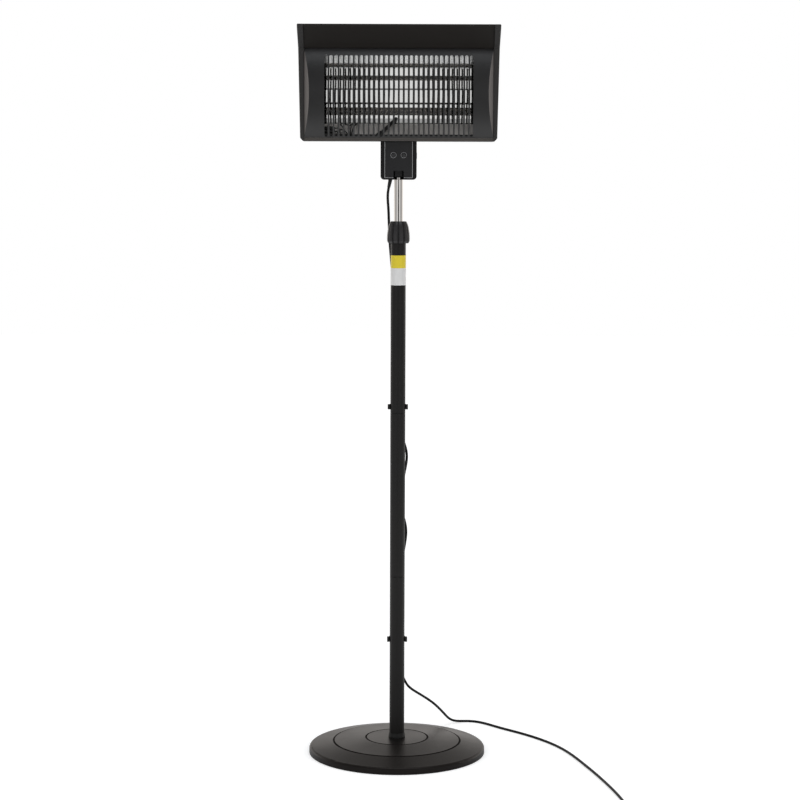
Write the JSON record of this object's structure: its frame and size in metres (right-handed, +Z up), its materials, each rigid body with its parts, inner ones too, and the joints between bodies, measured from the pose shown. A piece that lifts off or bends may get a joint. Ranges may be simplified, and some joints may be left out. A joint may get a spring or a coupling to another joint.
{
  "type": "infrared patio heater tower",
  "caption": "Free-standing infrared patio heater: weighted round base, telescopic pole with twist-lock collar, and a wide tilting head with visor, slotted grille and tube lamps.",
  "frame": {"origin": "on the floor at the centre of the round base", "axes": "+Z up along the pole, the grille faces -Y, +X to the right of somebody who looks at the grille"},
  "size_m": [0.8007, 0.9188, 1.844],
  "materials": {
    "base_satin": "satin",
    "pole_satin": "satin",
    "head_paint": "satin",
    "cap_plastic": "satin",
    "grille_paint": "satin",
    "collar_plastic": "matte",
    "clip_plastic": "satin",
    "bush_plastic": "matte",
    "tube_chrome": "polished",
    "reflector_alu": "polished",
    "lamp_glass": "clear",
    "filament_wire": "satin",
    "lamp_ceramic": "matte",
    "zinc_steel": "satin",
    "black_steel": "satin",
    "weight_concrete": "matte",
    "foot_rubber": "matte",
    "cord_pvc": "satin",
    "plug_pvc": "matte",
    "pin_brass": "polished",
    "terminal_nylon": "matte"
  },
  "bodies": {
    "stand": {"foot_ring": "foot_rubber", "base_plate": "zinc_steel", "base_weight": "weight_concrete", "base_cover": "base_satin", "pole_socket": "zinc_steel", "base_bolt": "zinc_steel", "base_washer": "zinc_steel", "base_nut": "zinc_steel", "lower_pole": "pole_satin", "middle_pole": "pole_satin", "upper_pole": "pole_satin", "lower_coupler": "zinc_steel", "upper_coupler": "zinc_steel", "pole_ring": "clip_plastic", "upper_cable_clip": "clip_plastic", "lower_cable_clip": "clip_plastic", "guide_bush": "bush_plastic", "cord_upper_run": "cord_pvc", "cord_pole_run": "cord_pvc", "cord_floor_run": "cord_pvc", "cord_coil": "cord_pvc", "plug_body": "plug_pvc", "plug_pins": "pin_brass"},
    "collar": {"lock_collar": "collar_plastic"},
    "slider": {"foot_plug": "bush_plastic"},
    "mast": {"inner_tube": "tube_chrome", "tilt_lug": "black_steel"},
    "head": {"neck_shell": "head_paint", "neck_cover": "cap_plastic", "cover_screws": "black_steel", "tilt_bracket": "zinc_steel", "bracket_screws": "zinc_steel", "tilt_bolt": "black_steel", "tilt_nut": "zinc_steel", "cable_gland": "clip_plastic", "rear_housing": "head_paint", "visor": "head_paint", "end_cap_right": "cap_plastic", "end_cap_left": "cap_plastic", "cap_screws": "black_steel", "grille": "grille_paint", "reflector": "reflector_alu", "reflector_ends": "reflector_alu", "lower_lamp": "lamp_glass", "upper_lamp": "lamp_glass", "filaments": "filament_wire", "lamp_bases": "lamp_ceramic", "lamp_holders": "zinc_steel", "terminal_block": "terminal_nylon"}
  },
  "joints": [
    {"name": "collar_turn", "type": "hinge", "parent": "stand", "child": "collar", "pos_m": [0, 0, 1.3], "axis": [0, 0, 1], "range_deg": [0, 90]},
    {"name": "mast_slide", "type": "slide", "parent": "stand", "child": "slider", "axis": [0, 0, 1], "range_m": [-0.075, 0.2], "deforming": ["cord_upper_run"]},
    {"name": "mast_swivel", "type": "hinge", "parent": "slider", "child": "mast", "pos_m": [0, 0, 1.03], "axis": [0, 0, 1], "range_deg": [-45, 45]},
    {"name": "head_tilt", "type": "hinge", "parent": "mast", "child": "head", "pos_m": [0, 0, 1.525], "axis": [1, 0, 0], "range_deg": [-10, 20]}
  ]
}
